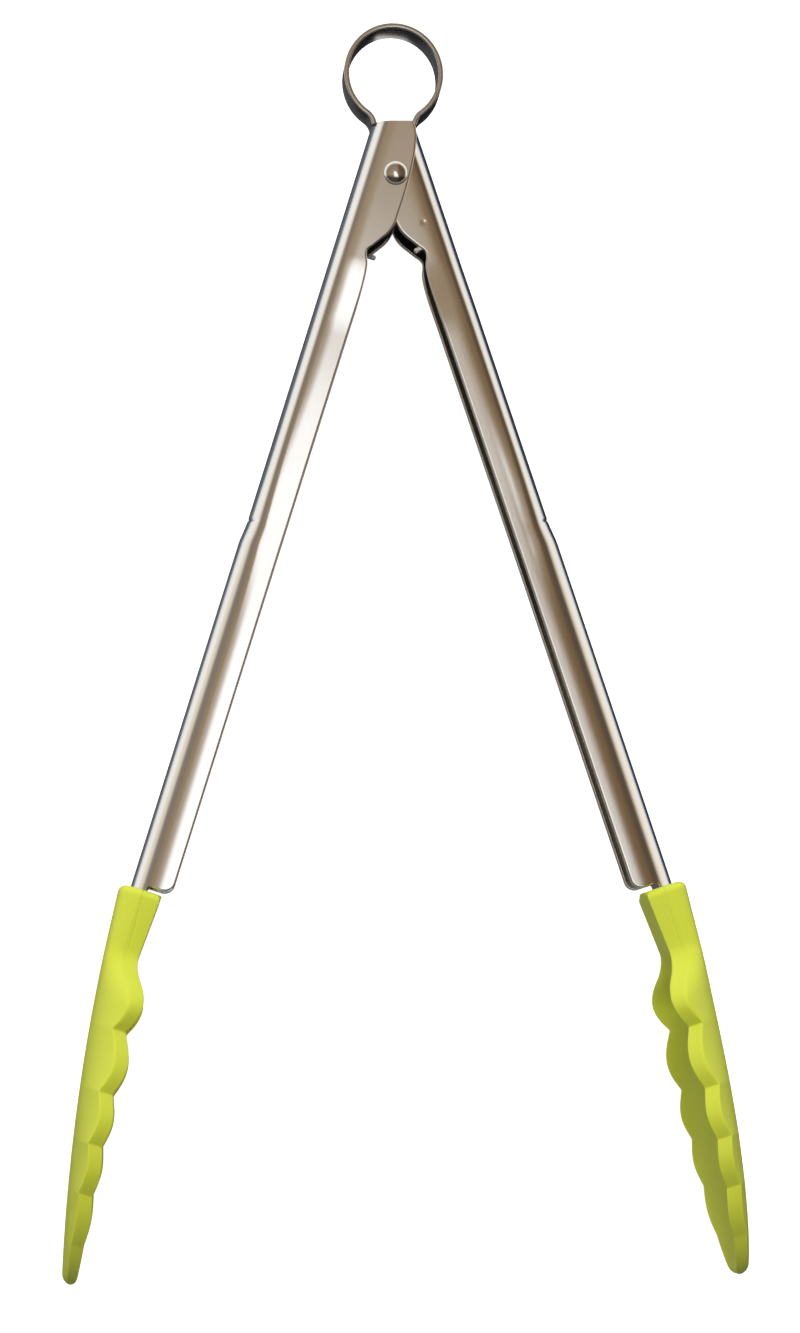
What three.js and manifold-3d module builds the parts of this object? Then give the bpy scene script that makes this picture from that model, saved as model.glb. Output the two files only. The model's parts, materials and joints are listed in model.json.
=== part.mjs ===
// Spring loaded kitchen tongs with scalloped silicone scoops, lying open on their side.
// Units are millimetres. The rivet runs along Z, the spring ring points to +Y and the
// scoops to -Y. Both arms are drawn in an arm frame: u runs down the arm from the rivet,
// v runs inwards to the other arm, and z runs across, along the rivet. The two arms are
// the same stamping, one turned half a turn about Y, so that each has one flange outside
// and one flange inside the other.
import * as THREE from 'three';
import { mergeVertices } from 'three/addons/utils/BufferGeometryUtils.js';
import Module from 'manifold-3d';

const wasm = await Module();
wasm.setup();

// ---- driving dimensions -------------------------------------------------------------
const openHalfAngle = THREE.MathUtils.degToRad(17.5);
const gap = 0.3;                 // clearance between pieces that touch

const sheet = 1.0;               // stainless sheet of the arms
const armWidth = 11.2;           // across the flanges of one arm
const joggleStart = 22;          // where each arm steps back to the middle plane
const joggleEnd = 40;
const webUpper = -8.85;          // back of the arm above the pressed step
const webLower = -9.3;           // back of the arm below it
const stepStart = 89;
const stepEnd = 95;
const cornerUpper = 3.2;         // outside bend radius above and below the step
const cornerLower = 4.9;

const armTopRise = 13.0;         // top of the arms above the rivet, in the open pose
const earReach = 3.6;            // how far an ear passes the rivet line
const outerEarCut = 3.7;         // corner taken off the top of the ear that lies outside
const innerEarCut = 6.3;         // and of the one that lies inside the other arm
const earFoot = 12.2;            // u where the ear starts to fall away
const notchStart = 19.2;         // u of the notch under the ear
const notchEnd = 20.9;
const notchDepth = -0.95;
const edgeUpper = 0.6;           // free edge of the flanges below the notch
const edgeLower = 0.3;
const flangeEnd = 177.2;
const flangeEndRadius = 2.5;
const tangEdge = -5.6;           // flange height left on the tang
const tangEnd = 190;
const lugPlace = 18.6;           // u of the small lug inside the notch
const lugReach = 1.4;
const lugDepth = 1.4;
const dimplePlace = [12.9, -2.8];
const dimpleRadius = 1.1;
const dimpleDepth = 0.35;

const rivetHeadRadius = 2.85;
const rivetHeadHeight = 1.5;
const rivetTubeRadius = 1.9;
const rivetPinRadius = 1.0;
const spacerWall = 1.0;

const loopHalfWidth = 11.8;      // outside of the spring ring, which is a little tall
const loopHalfHeight = 12.3;
const loopCentreRise = 25.0;
const loopStrip = 1.25;          // thickness and width of the spring strip
const loopStripWidth = 8.4;
const loopLegAngle = THREE.MathUtils.degToRad(-55);

const sleeveTop = 178.4;         // mouth of the silicone sleeve
const headEnd = 268;
const sleeveHalfDepth = 8.1;
const sleeveInner = -1.85;       // inner face of the sleeve at its mouth
const creaseLine = -6.6;         // parting line on the sides of the sleeve
const neck = 195.6;              // narrowest place, where the first lobe starts
const backAtMouth = -11.95;
const backSlope = 0.08;
const backCurveStart = 190;      // below this the back curves inwards towards the tip
const backTipRise = 7.3;         // and has moved in this far at the tip
const scoopHalfWidth = 17.9;     // inner edge of the rim at the widest place
const taperStart = 235.6;        // u of that place
const rimBand = 3.3;             // height of the rim's end face
const rimLean = 1.6;             // how far that face leans inwards
const scoopWall = 3.3;
const lobeLengths = [15.0, 14.1, 11.6, 11.0, 11.2];
const lobeHeights = [3.5, 2.15, 1.3, 0.95, 0.6];
const lobeFlares = [1.5, 0.7, 0.7, 0.7, 0.7];   // how far the lobes stand out sideways
const rimAtNeck = -2.85;
const rimAtFirstCusp = -0.25;
const rimSlope = 0.1;

const paddleSheet = 1.0;
const paddleMargin = 3.4;        // silicone left beyond the edge of the steel paddle
const paddleEnd = 261;

// ---- finishes -----------------------------------------------------------------------
const brushedSteel = { color: 0xb9b5ae, roughness: 0.34, metalness: 1.0 };
const polishedSteel = { color: 0xd6d4d0, roughness: 0.15, metalness: 1.0 };
const springSteel = { color: 0x9a938a, roughness: 0.3, metalness: 1.0 };
const limeSilicone = { color: 0xc4cf35, roughness: 0.55, metalness: 0.0 };

// ---- values worked out from the driving ones ----------------------------------------
const nestShift = (sheet + gap) / 2;
const stackHalf = armWidth / 2 + nestShift;
const spacerHalf = armWidth / 2 - sheet - nestShift - gap;
const lerp = THREE.MathUtils.lerp;
const smooth = THREE.MathUtils.smoothstep;
const clamp = THREE.MathUtils.clamp;

// ---- solids -------------------------------------------------------------------------
function toSolid(geometry) {
  const bare = geometry.clone();
  bare.deleteAttribute('normal');
  bare.deleteAttribute('uv');
  const merged = mergeVertices(bare, 1e-5);
  return new wasm.Manifold(new wasm.Mesh({
    numProp: 3,
    vertProperties: new Float32Array(merged.attributes.position.array),
    triVerts: new Uint32Array(merged.index.array),
  }));
}

function toGeometry(solid) {
  const mesh = solid.getMesh();
  const geometry = new THREE.BufferGeometry();
  geometry.setAttribute('position', new THREE.BufferAttribute(mesh.vertProperties, 3));
  geometry.setIndex(new THREE.BufferAttribute(mesh.triVerts, 1));
  return geometry;
}

// A closed solid through a row of closed sections that all have the same point count.
function loft(sections) {
  const count = sections[0].length;
  const last = (sections.length - 1) * count;
  const positions = sections.flat().flatMap((point) => [point.x, point.y, point.z]);
  const faces = [];
  for (let row = 0; row < sections.length - 1; row += 1) {
    for (let i = 0; i < count; i += 1) {
      const a = row * count + i;
      const b = row * count + ((i + 1) % count);
      faces.push(a, b, b + count, a, b + count, a + count);
    }
  }
  const capOf = (section) => {
    const outline = section.map((point) => new THREE.Vector2(point.y, point.z));
    return THREE.ShapeUtils.triangulateShape(outline, []);
  };
  for (const [a, b, c] of capOf(sections[0])) {
    faces.push(a, c, b);
  }
  for (const [a, b, c] of capOf(sections.at(-1))) {
    faces.push(last + a, last + b, last + c);
  }
  const geometry = new THREE.BufferGeometry();
  geometry.setAttribute('position', new THREE.Float32BufferAttribute(positions, 3));
  geometry.setIndex(faces);
  return toSolid(geometry);
}

// A flat outline given a depth along z, from low to high.
function extrudeBetween(shape, low, high, curveSegments = 6) {
  const options = { depth: high - low, bevelEnabled: false, curveSegments };
  return toSolid(new THREE.ExtrudeGeometry(shape, options).translate(0, 0, low));
}

// ---- arms: a folded channel, trimmed to the outline of its blank --------------------
function webLine(u) {
  return lerp(webUpper, webLower, smooth(u, stepStart, stepEnd));
}

function armShift(u) {
  return nestShift * (1 - smooth(u, joggleStart, joggleEnd));
}

// One side of the channel from the free edge of a flange to the middle of the web.
function bentSide(edge, web, half, radius, side) {
  const bendSegments = 5;
  const points = [[edge, side * half]];
  for (let i = 0; i <= bendSegments; i += 1) {
    const turn = (Math.PI / 2) * (i / bendSegments);
    const v = web + radius * (1 - Math.sin(turn));
    points.push([v, side * (half - radius * (1 - Math.cos(turn)))]);
  }
  return points;
}

function channelSection(u, grow) {
  const edge = earReach + 2;
  const web = webLine(u) - grow;
  const half = armWidth / 2 + grow;
  const bend = lerp(cornerUpper, cornerLower, smooth(u, stepStart, stepEnd)) + grow;
  const skin = sheet + 2 * grow;
  const outside = [
    ...bentSide(edge, web, half, bend, 1),
    ...bentSide(edge, web, half, bend, -1).reverse(),
  ];
  const inside = [
    ...bentSide(edge, web + skin, half - skin, bend - skin, -1),
    ...bentSide(edge, web + skin, half - skin, bend - skin, 1).reverse(),
  ];
  const shift = armShift(u);
  return [...outside, ...inside].map(([v, z]) => new THREE.Vector3(u, v, z + shift));
}

function channel(start, end, grow = 0) {
  const shares = [0, 0.25, 0.5, 0.75, 1];
  const bends = [
    ...shares.map((share) => lerp(joggleStart, joggleEnd, share)),
    ...shares.map((share) => lerp(stepStart, stepEnd, share)),
  ];
  const stations = [start, ...bends.filter((place) => place > start && place < end), end];
  return loft(stations.map((u) => channelSection(u, grow)));
}

// u of the level top of the arms at a given v.
function topEdge(v) {
  return -(armTopRise + Math.sin(openHalfAngle) * v) / Math.cos(openHalfAngle);
}

function armOutline(earCut) {
  const behind = webLower - 2;
  const corner = earReach - earCut;
  const cornerTop = topEdge(corner);
  const pull = 0.8 * (earCut - 2.2);
  const shape = new THREE.Shape();
  shape.moveTo(topEdge(behind), behind);
  shape.lineTo(cornerTop, corner);
  shape.quadraticCurveTo(cornerTop + pull, earReach - 0.3 * earCut, -2.8, earReach - 0.3);
  shape.quadraticCurveTo(1, earReach, 5, earReach);
  shape.lineTo(earFoot - 1.5, earReach - 0.1);
  shape.quadraticCurveTo(earFoot + 0.8, earReach - 0.2, earFoot + 2.6, earReach - 1.3);
  shape.lineTo(notchStart - 1.0, notchDepth + 1.0);
  shape.quadraticCurveTo(notchStart, notchDepth, (notchStart + notchEnd) / 2, notchDepth);
  shape.quadraticCurveTo(notchEnd, notchDepth, notchEnd + 1.3, notchDepth + 0.7);
  shape.quadraticCurveTo(notchEnd + 3.2, edgeUpper - 0.3, notchEnd + 11, edgeUpper);
  shape.lineTo(flangeEnd - flangeEndRadius, edgeLower);
  shape.absarc(flangeEnd - flangeEndRadius, edgeLower - flangeEndRadius, flangeEndRadius,
    Math.PI / 2, 0, true);
  shape.lineTo(flangeEnd, tangEdge);
  shape.lineTo(tangEnd, tangEdge);
  shape.lineTo(tangEnd, behind);
  shape.closePath();
  return shape;
}

// The small lug folded in from the edge of the inner ear, just above the notch.
function lug() {
  const face = -(armWidth / 2 - sheet) + nestShift;
  const shape = new THREE.Shape();
  shape.moveTo(lugPlace - 0.4, notchDepth - 1.6);
  shape.lineTo(lugPlace + 0.4, notchDepth - 1.6);
  shape.lineTo(lugPlace + 0.4, lugReach - 0.4);
  shape.absarc(lugPlace, lugReach - 0.4, 0.4, 0, Math.PI, false);
  shape.closePath();
  return extrudeBetween(shape, face - sheet / 2, face + lugDepth, 4);
}

function dimple() {
  const face = -armWidth / 2 + nestShift;
  const ballRadius = (dimpleRadius ** 2 + dimpleDepth ** 2) / (2 * dimpleDepth);
  const ball = new THREE.SphereGeometry(ballRadius, 24, 24).rotateX(Math.PI / 2);
  return toSolid(ball.translate(...dimplePlace, face + dimpleDepth - ballRadius));
}

// Half the width of the steel paddle that stiffens the scoop.
function paddleHalf(u) {
  const inScoop = Math.max(rimHalfWidth(u) - paddleMargin, 2.5);
  const inSleeve = armWidth / 2 - cornerLower + 2.4;
  return Math.min(inScoop, lerp(inSleeve, inScoop, smooth(u, neck - 6, neck + 9)));
}

function paddleSection(u, grow) {
  const segments = 6;
  const half = paddleHalf(u);
  const follow = smooth(u, neck - 8, neck + 6);
  const middle = backLine(u) + (scoopWall - paddleSheet) / 2;
  const floor = lerp(webLower, middle, follow);
  const rise = follow * (bandFoot(u) - backLine(u)) * (half / rimHalfWidth(u)) ** 2;
  const under = [];
  const over = [];
  for (let i = 0; i <= segments; i += 1) {
    const across = (2 * i) / segments - 1;
    const v = floor + rise * across * across;
    under.push(new THREE.Vector3(u, v - grow, across * (half + grow)));
    over.push(new THREE.Vector3(u, v + paddleSheet + grow, across * (half + grow)));
  }
  return [...under.reverse(), ...over];
}

function paddle(grow = 0) {
  const count = 14;
  const sections = [];
  for (let i = 0; i <= count; i += 1) {
    const u = lerp(tangEnd - 6 - grow, paddleEnd + grow, i / count);
    sections.push(paddleSection(u, grow));
  }
  return loft(sections);
}

function makeArm() {
  const folded = channel(topEdge(earReach + 2) - 1, tangEnd + 1);
  const blank = extrudeBetween(armOutline(outerEarCut), 0, armWidth)
    .add(extrudeBetween(armOutline(innerEarCut), -armWidth, 0));
  const boreRadius = rivetTubeRadius + gap;
  const boreShape = new THREE.CylinderGeometry(boreRadius, boreRadius, 3 * armWidth, 24);
  const bore = toSolid(boreShape.rotateX(Math.PI / 2));
  const stamping = folded.intersect(blank).add(lug()).subtract(bore).subtract(dimple());
  return toGeometry(stamping.add(paddle()));
}

// ---- silicone scoops ----------------------------------------------------------------
function backLine(u) {
  const bend = Math.max(u - backCurveStart, 0) / (headEnd - backCurveStart);
  return backAtMouth + backSlope * (u - sleeveTop) + backTipRise * bend * bend;
}

// Which lobe of the rim u falls in, and how far along it, from 0 to 1.
function lobeAt(u) {
  let start = neck;
  let index = 0;
  while (index < lobeLengths.length - 1 && u >= start + lobeLengths[index]) {
    start += lobeLengths[index];
    index += 1;
  }
  return { index, along: clamp((u - start) / lobeLengths[index], 0, 1) };
}

// The line that the cusps between the lobes lie on.
function cuspLine(u) {
  const firstCusp = neck + lobeLengths[0];
  if (u < firstCusp) {
    return lerp(rimAtNeck, rimAtFirstCusp, (u - neck) / lobeLengths[0]);
  }
  return rimAtFirstCusp + rimSlope * (u - firstCusp);
}

// Inner edge of the rim, and the foot of its end face.
function rimLine(u) {
  if (u < neck) {
    return lerp(sleeveInner, rimAtNeck, (u - sleeveTop) / (neck - sleeveTop));
  }
  const { index, along } = lobeAt(u);
  return cuspLine(u) + lobeHeights[index] * Math.sin(Math.PI * along) ** 0.75;
}

function bandFoot(u) {
  return lerp(creaseLine, rimLine(u) - rimBand, smooth(u, neck - 4, neck + 3));
}

function rimHalfWidth(u) {
  const leaf = (smooth(u, neck - 3.5, neck + 10) + smooth(u, neck + 2, taperStart)) / 2;
  const taper = clamp((u - taperStart) / (headEnd - taperStart), 0, 1);
  const width = lerp(sleeveHalfDepth - 1, scoopHalfWidth, leaf) * Math.sqrt(1 - taper ** 1.55);
  const { index, along } = lobeAt(u);
  const flare = lobeFlares[index] * Math.sin(Math.PI * along);
  return width + (u < neck ? 0 : flare);
}

function headSection(u, inset) {
  const flankSegments = 5;
  const floorSegments = 4;
  const tipLength = 3.4;
  const scoop = smooth(u, neck - 4, neck + 10);
  const intoTip = clamp((u - headEnd + tipLength) / tipLength, 0, 0.985);
  const tipRound = Math.sqrt(1 - intoTip ** 2);
  const middle = (backLine(u) + rimLine(u)) / 2 + (1 - tipRound) * 0.5;
  const squeeze = (v) => lerp(middle, v, tipRound);
  const back = squeeze(backLine(u)) + inset;
  const rim = squeeze(rimLine(u)) - inset;
  const foot = squeeze(bandFoot(u));
  const inner = Math.max(rimHalfWidth(u) - inset, 1.2 * tipRound);
  const outer = inner + lerp(1, rimLean, scoop) * tipRound;
  const floor = lerp(rim, Math.min(squeeze(backLine(u) + scoopWall), rim), scoop);
  const half = [];
  for (let i = 0; i <= flankSegments; i += 1) {
    const t = i / flankSegments;
    const turn = (Math.PI / 2) * t;
    const boxV = foot - (foot - back) * Math.cos(turn) ** 0.5;
    const boxZ = outer * Math.sin(turn) ** 0.5;
    const dishV = back + (foot - back) * t * t;
    half.push([lerp(boxV, dishV, scoop), lerp(boxZ, outer * t, scoop)]);
  }
  for (let i = 0; i <= floorSegments; i += 1) {
    const t = 1 - i / floorSegments;
    half.push([floor + (rim - floor) * t * t, inner * t]);
  }
  const mirrored = half.slice(1, -1).reverse().map(([v, z]) => [v, -z]);
  return [...half, ...mirrored].map(([v, z]) => new THREE.Vector3(u, v, z)).reverse();
}

// Places along the scoop with a section, and how far each is drawn in at the mouth.
function headStations() {
  const mouth = [[0, 0.9], [0.35, 0.35], [1.3, 0]].map(([u, inset]) => [sleeveTop + u, inset]);
  const sleeve = [-10, -4.5, -2, 0].map((step) => [neck + step, 0]);
  const lobes = [];
  let start = neck;
  for (const length of lobeLengths) {
    for (const share of [0.18, 0.42, 0.68, 0.9, 1]) {
      lobes.push([start + length * share, 0]);
    }
    start += length;
  }
  const tip = [3.2, 2, 1, 0.3].map((step) => [headEnd - step, 0]);
  return [...mouth, ...sleeve, ...lobes, ...tip.filter(([u]) => u > start + 0.3)];
}

function makeHead() {
  const body = loft(headStations().map(([u, inset]) => headSection(u, inset)));
  const roomShape = new THREE.Shape();
  roomShape.moveTo(sleeveTop - 3, webLower - 2);
  roomShape.lineTo(tangEnd + gap, webLower - 2);
  roomShape.lineTo(tangEnd + gap, tangEdge + gap);
  roomShape.lineTo(sleeveTop - 3, tangEdge + gap);
  roomShape.closePath();
  const tangRoom = channel(sleeveTop - 2, tangEnd + 1, gap)
    .intersect(extrudeBetween(roomShape, -armWidth, armWidth));
  return toGeometry(body.subtract(tangRoom.add(paddle(gap))));
}

// ---- rivet: a tube with one domed head, and a headed pin driven into it -------------
function domePoints() {
  const segments = 6;
  const brim = 0.25;
  const points = [new THREE.Vector2(rivetHeadRadius - 0.15, 0)];
  for (let i = 0; i < segments; i += 1) {
    const turn = (Math.PI / 2) * (i / segments);
    const rise = brim + (rivetHeadHeight - brim) * Math.sin(turn);
    points.push(new THREE.Vector2(rivetHeadRadius * Math.cos(turn), rise));
  }
  points.push(new THREE.Vector2(0, rivetHeadHeight));
  return points;
}

function turned(points) {
  return new THREE.LatheGeometry(points, 24).rotateX(Math.PI / 2);
}

function makeRivetTube() {
  const length = 2 * stackHalf + gap;
  const boreRadius = rivetPinRadius + gap;
  const boreFloor = -1.5;
  const profile = [
    new THREE.Vector2(0, boreFloor),
    new THREE.Vector2(boreRadius, boreFloor),
    new THREE.Vector2(boreRadius, -length),
    new THREE.Vector2(rivetTubeRadius, -length),
    new THREE.Vector2(rivetTubeRadius, 0),
    ...domePoints(),
  ];
  return turned(profile).rotateX(Math.PI).translate(0, 0, -stackHalf - gap);
}

function makeRivetPin() {
  const length = 2 * stackHalf - 2;
  const profile = [
    new THREE.Vector2(0, -length),
    new THREE.Vector2(rivetPinRadius, -length),
    new THREE.Vector2(rivetPinRadius, 0),
    ...domePoints(),
  ];
  return turned(profile).translate(0, 0, stackHalf + gap);
}

function makeSpacer() {
  const inside = rivetTubeRadius + gap;
  const outside = inside + spacerWall;
  return turned([
    new THREE.Vector2(inside, -spacerHalf),
    new THREE.Vector2(outside, -spacerHalf),
    new THREE.Vector2(outside, spacerHalf),
    new THREE.Vector2(inside, spacerHalf),
    new THREE.Vector2(inside, -spacerHalf),
  ]);
}

// ---- spring ring: a flat strip, its legs running down to the backs of the arms -------
function makeRing() {
  const legFoot = armTopRise + gap;
  const footDown = -(legFoot + Math.sin(openHalfAngle) * webUpper) / Math.cos(openHalfAngle);
  const footOut = Math.sin(openHalfAngle) * footDown - Math.cos(openHalfAngle) * webUpper;
  const footIn = footOut - loopStrip / Math.sin(Math.PI / 4);
  const legEnd = Math.PI - loopLegAngle;
  const innerWidth = loopHalfWidth - loopStrip;
  const innerHeight = loopHalfHeight - loopStrip;
  const shape = new THREE.Shape();
  shape.moveTo(footOut, legFoot);
  shape.absellipse(0, loopCentreRise, loopHalfWidth, loopHalfHeight, loopLegAngle, legEnd, false);
  shape.lineTo(-footOut, legFoot);
  shape.lineTo(-footIn, legFoot);
  shape.absellipse(0, loopCentreRise, innerWidth, innerHeight, legEnd, loopLegAngle, true);
  shape.lineTo(footIn, legFoot);
  shape.closePath();
  return toGeometry(extrudeBetween(shape, -loopStripWidth / 2, loopStripWidth / 2, 28));
}

// ---- assembly -----------------------------------------------------------------------
function piece(name, geometry, finish) {
  const mesh = new THREE.Mesh(geometry, new THREE.MeshStandardMaterial(finish));
  mesh.name = name;
  return mesh;
}

// Turns an arm frame (u, v, z) into its place on the open tongs: side -1 left, 1 right.
function armGroup(side) {
  const down = new THREE.Vector3(side * Math.sin(openHalfAngle), -Math.cos(openHalfAngle), 0);
  const inward = new THREE.Vector3(-side * Math.cos(openHalfAngle), -Math.sin(openHalfAngle), 0);
  const across = new THREE.Vector3().crossVectors(down, inward);
  const group = new THREE.Group();
  group.applyMatrix4(new THREE.Matrix4().makeBasis(down, inward, across));
  return group;
}

const tongs = new THREE.Group();
const armGeometry = makeArm();
const headGeometry = makeHead();

const left = armGroup(-1);
left.add(piece('left_arm', armGeometry, brushedSteel));
left.add(piece('left_scoop', headGeometry, limeSilicone));

const right = armGroup(1);
right.add(piece('right_arm', armGeometry, brushedSteel));
right.add(piece('right_scoop', headGeometry, limeSilicone));

tongs.add(left, right);
tongs.add(piece('spring_ring', makeRing(), springSteel));
tongs.add(piece('rivet_tube', makeRivetTube(), polishedSteel));
tongs.add(piece('rivet_pin', makeRivetPin(), polishedSteel));
tongs.add(piece('rivet_spacer', makeSpacer(), polishedSteel));

// The origin is under the middle of the whole object, on the surface it lies on.
const bounds = new THREE.Box3().setFromObject(tongs);
const middle = bounds.getCenter(new THREE.Vector3());
tongs.position.set(-middle.x, -middle.y, -bounds.min.z);

export default tongs;
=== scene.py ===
# Spring loaded kitchen tongs: two folded steel arms on one rivet, a spring ring above it
# and a scalloped silicone scoop on the end of each arm. Sizes in a section are in
# millimetres; every mesh is placed in metres in the frame's own axes.
import json
import math

import bmesh
import bpy
import numpy as np
from mathutils import Euler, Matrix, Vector


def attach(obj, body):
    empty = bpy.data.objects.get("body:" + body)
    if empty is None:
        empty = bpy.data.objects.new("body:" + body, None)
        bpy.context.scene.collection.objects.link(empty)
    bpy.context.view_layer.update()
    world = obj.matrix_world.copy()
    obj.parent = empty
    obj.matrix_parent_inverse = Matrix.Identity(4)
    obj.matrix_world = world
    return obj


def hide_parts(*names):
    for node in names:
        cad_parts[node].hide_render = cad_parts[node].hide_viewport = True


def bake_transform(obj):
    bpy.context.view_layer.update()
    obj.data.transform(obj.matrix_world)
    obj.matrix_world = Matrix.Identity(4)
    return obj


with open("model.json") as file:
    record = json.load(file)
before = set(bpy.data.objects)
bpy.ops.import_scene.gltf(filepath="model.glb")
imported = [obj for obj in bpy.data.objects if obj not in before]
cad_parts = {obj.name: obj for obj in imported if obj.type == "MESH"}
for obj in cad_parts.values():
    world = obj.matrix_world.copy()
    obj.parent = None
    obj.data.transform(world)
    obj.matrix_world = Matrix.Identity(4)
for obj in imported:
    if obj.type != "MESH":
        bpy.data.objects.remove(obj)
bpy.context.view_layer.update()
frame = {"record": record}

# ---- Arms -----------------------------------------------------------------------------
# Each arm is one stamping of 1 mm stainless sheet: a back, two rounded corners and two
# flanges that widen to ears at the rivet. Both arms are the same stamping, one turned
# over, so each has one flange outside the other arm and one inside it.
ARM_OPEN = math.radians(17.5)
PIVOT = Vector(frame["record"]["behaviour"]["joints"][0]["pos_m"])
SHEET = 1.0
ARM_HALF = 5.6
NEST_SHIFT = 0.65  # sideways offset that lets the ears of the two arms nest
JOGGLE = (22.0, 40.0)  # where along the arm the offset dies away
STEP = (89.0, 95.0)  # the pressed step in the back
BACK = (-8.85, -9.3)  # the back above the step and below it
CORNER_CHANGE = (68.0, 108.0)
CORNER_DEPTH = (3.8, 5.1)  # above the change and below it
CORNER_ACROSS = (5.4, 4.8)
FLANGE_CROWN = (0.1, 1.5, 1.0)  # lean, how far past the corner it ends, how softly
NICK = (88.8, 0.35, 0.24)  # place, half width, depth
FLANGE_DENT = (50.0, 88.0, 118.0, 0.16)  # start, deepest place, end, depth
DIMPLE = (12.9, -2.8, 0.5, 0.07)  # place along and across, radius, depth
ARM_TOP = 13.0
EAR_REACH = 3.6
OUTER_EAR_CUT = 3.7
INNER_EAR_CUT = 6.3
EDGE_ROUND = 0.2
LUG_PLACE = 18.6
LUG_FOOT = -0.9
LUG_TOP = 1.4
LUG_ROUND = 0.4
LUG_DEPTH = 1.9
LUG_BEVEL = 0.1
FLANGE_END = 177.2
FLANGE_END_RADIUS = 2.5
TANG_EDGE = -5.6
TANG_END = 190.0
SKIN_ROWS = 44


def lerp(a, b, t):
    """The value at share t of the way from a to b."""
    return a + (b - a) * t


def smooth(x, low, high):
    """A soft step from 0 at low to 1 at high."""
    t = np.clip((x - low) / (high - low), 0, 1)
    return t * t * (3 - 2 * t)


def in_place(points, side):
    """Arm frame (u down the arm, v inwards, w across) to the frame, in metres."""
    down = Vector((side * math.sin(ARM_OPEN), -math.cos(ARM_OPEN), 0))
    inward = Vector((-side * math.cos(ARM_OPEN), -math.sin(ARM_OPEN), 0))
    turn = np.array([down, inward, down.cross(inward)])
    return np.asarray(points) @ turn / 1000 + np.array(PIVOT)


def top_edge(v):
    """Where the arm's top is cut, square to the tongs' middle line while they are open."""
    return -(ARM_TOP + math.sin(ARM_OPEN) * v) / math.cos(ARM_OPEN)


def corner_curve(a, b, c, count):
    """Points from a to c on the curve that b pulls, without a itself."""
    t = (np.arange(count) + 1)[:, None] / count
    a, b, c = np.array(a), np.array(b), np.array(c)
    return (1 - t) ** 2 * a + 2 * t * (1 - t) * b + t * t * c


def straight(a, b, count):
    """Points from a to b in a straight line, without a itself."""
    return corner_curve(a, (np.array(a) + np.array(b)) / 2, b, count)


def free_edge(ear_cut):
    """The outline of one flange, from the top of its ear down to the end of the tang."""
    corner = EAR_REACH - ear_cut
    start = (top_edge(corner), corner)
    arc_start = FLANGE_END - FLANGE_END_RADIUS
    arc = np.linspace(0, math.pi / 2, 13)[1:]
    end_corner = np.column_stack([
        arc_start + FLANGE_END_RADIUS * np.sin(arc),
        0.3 - FLANGE_END_RADIUS * (1 - np.cos(arc)),
    ])
    parts = [
        [start],
        corner_curve(start, (start[0] + 0.8 * (ear_cut - 2.2), EAR_REACH - 0.3 * ear_cut),
                     (-2.8, EAR_REACH - 0.3), 22),
        corner_curve((-2.8, EAR_REACH - 0.3), (1, EAR_REACH), (5, EAR_REACH), 10),
        straight((5, EAR_REACH), (10.7, 3.5), 7),
        corner_curve((10.7, 3.5), (13, 3.4), (14.8, 2.3), 12),
        straight((14.8, 2.3), (18.2, 0.05), 7),
        corner_curve((18.2, 0.05), (19.2, -0.95), (20.05, -0.95), 10),
        corner_curve((20.05, -0.95), (20.9, -0.95), (22.2, -0.25), 10),
        corner_curve((22.2, -0.25), (24.1, 0.6), (31.9, 0.6), 14),
        straight((31.9, 0.6), (STEP[0] - 1.5, 0.45), 24),
        straight((STEP[0] - 1.5, 0.45), (STEP[0] + 1, 0.44), 16),
        straight((STEP[0] + 1, 0.44), (STEP[1] + 1.5, 0.42), 12),
        straight((STEP[1] + 1.5, 0.42), (arc_start, 0.3), 30),
        end_corner,
        straight((FLANGE_END, 0.3 - FLANGE_END_RADIUS), (FLANGE_END, TANG_EDGE + 0.5), 8),
        corner_curve((FLANGE_END, TANG_EDGE + 0.5), (FLANGE_END, TANG_EDGE),
                     (FLANGE_END + 0.5, TANG_EDGE), 5),
        straight((FLANGE_END + 0.5, TANG_EDGE), (TANG_END, TANG_EDGE), 10),
    ]
    return np.concatenate(parts)


def corner_at(u):
    """Back, corner depth and corner width of the channel at u."""
    back = lerp(*BACK, smooth(u, *STEP))
    t = smooth(u, *CORNER_CHANGE)
    return back, lerp(*CORNER_DEPTH, t), lerp(*CORNER_ACROSS, t)


def pressed_in(u, v, reach):
    """How far the press marks push the sheet in: a shallow dent by the step, and a dimple."""
    start, deepest, end, dent = FLANGE_DENT
    by_step = dent * (smooth(u, start, deepest) - smooth(u, deepest, end))
    place_u, place_v, radius, deep = DIMPLE
    off = ((u - place_u) ** 2 + (v - place_v) ** 2) / radius ** 2
    return by_step * smooth(v, -6, -2) + deep * np.exp(-off) * (reach < 0)


def channel_point(u, reach, depth):
    """A point of the folded sheet: reach is measured round from the middle of the back."""
    back, deep, across = corner_at(u)
    round_from_back = np.abs(reach)
    flat = ARM_HALF - across
    turn = np.clip((round_from_back - flat) / across, 0, math.pi / 2)
    beyond = np.maximum(round_from_back - flat - across * math.pi / 2, 0)
    lean = np.arctan2(deep * np.sin(turn), across * np.cos(turn))
    nick_u, nick_width, nick_deep = NICK
    nick = nick_deep * np.exp(-((u - nick_u) / nick_width) ** 2) * (1 - smooth(turn, 0.7, 1.2))
    v = back + deep * (1 - np.cos(turn)) + beyond + depth * np.cos(lean) + nick
    w = np.minimum(round_from_back, flat) + across * np.sin(turn) - depth * np.sin(lean)
    slope, crown_end, crown_soft = FLANGE_CROWN
    past = v - back - deep - crown_end
    crown = slope * (np.sqrt(past ** 2 + crown_soft ** 2) - past) / 2
    w -= pressed_in(u, v, reach) + crown * np.minimum(round_from_back / ARM_HALF, 1)
    shift = NEST_SHIFT * (1 - smooth(u, *JOGGLE))
    return np.stack([u, v, np.sign(reach) * w + shift], axis=-1)


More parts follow.
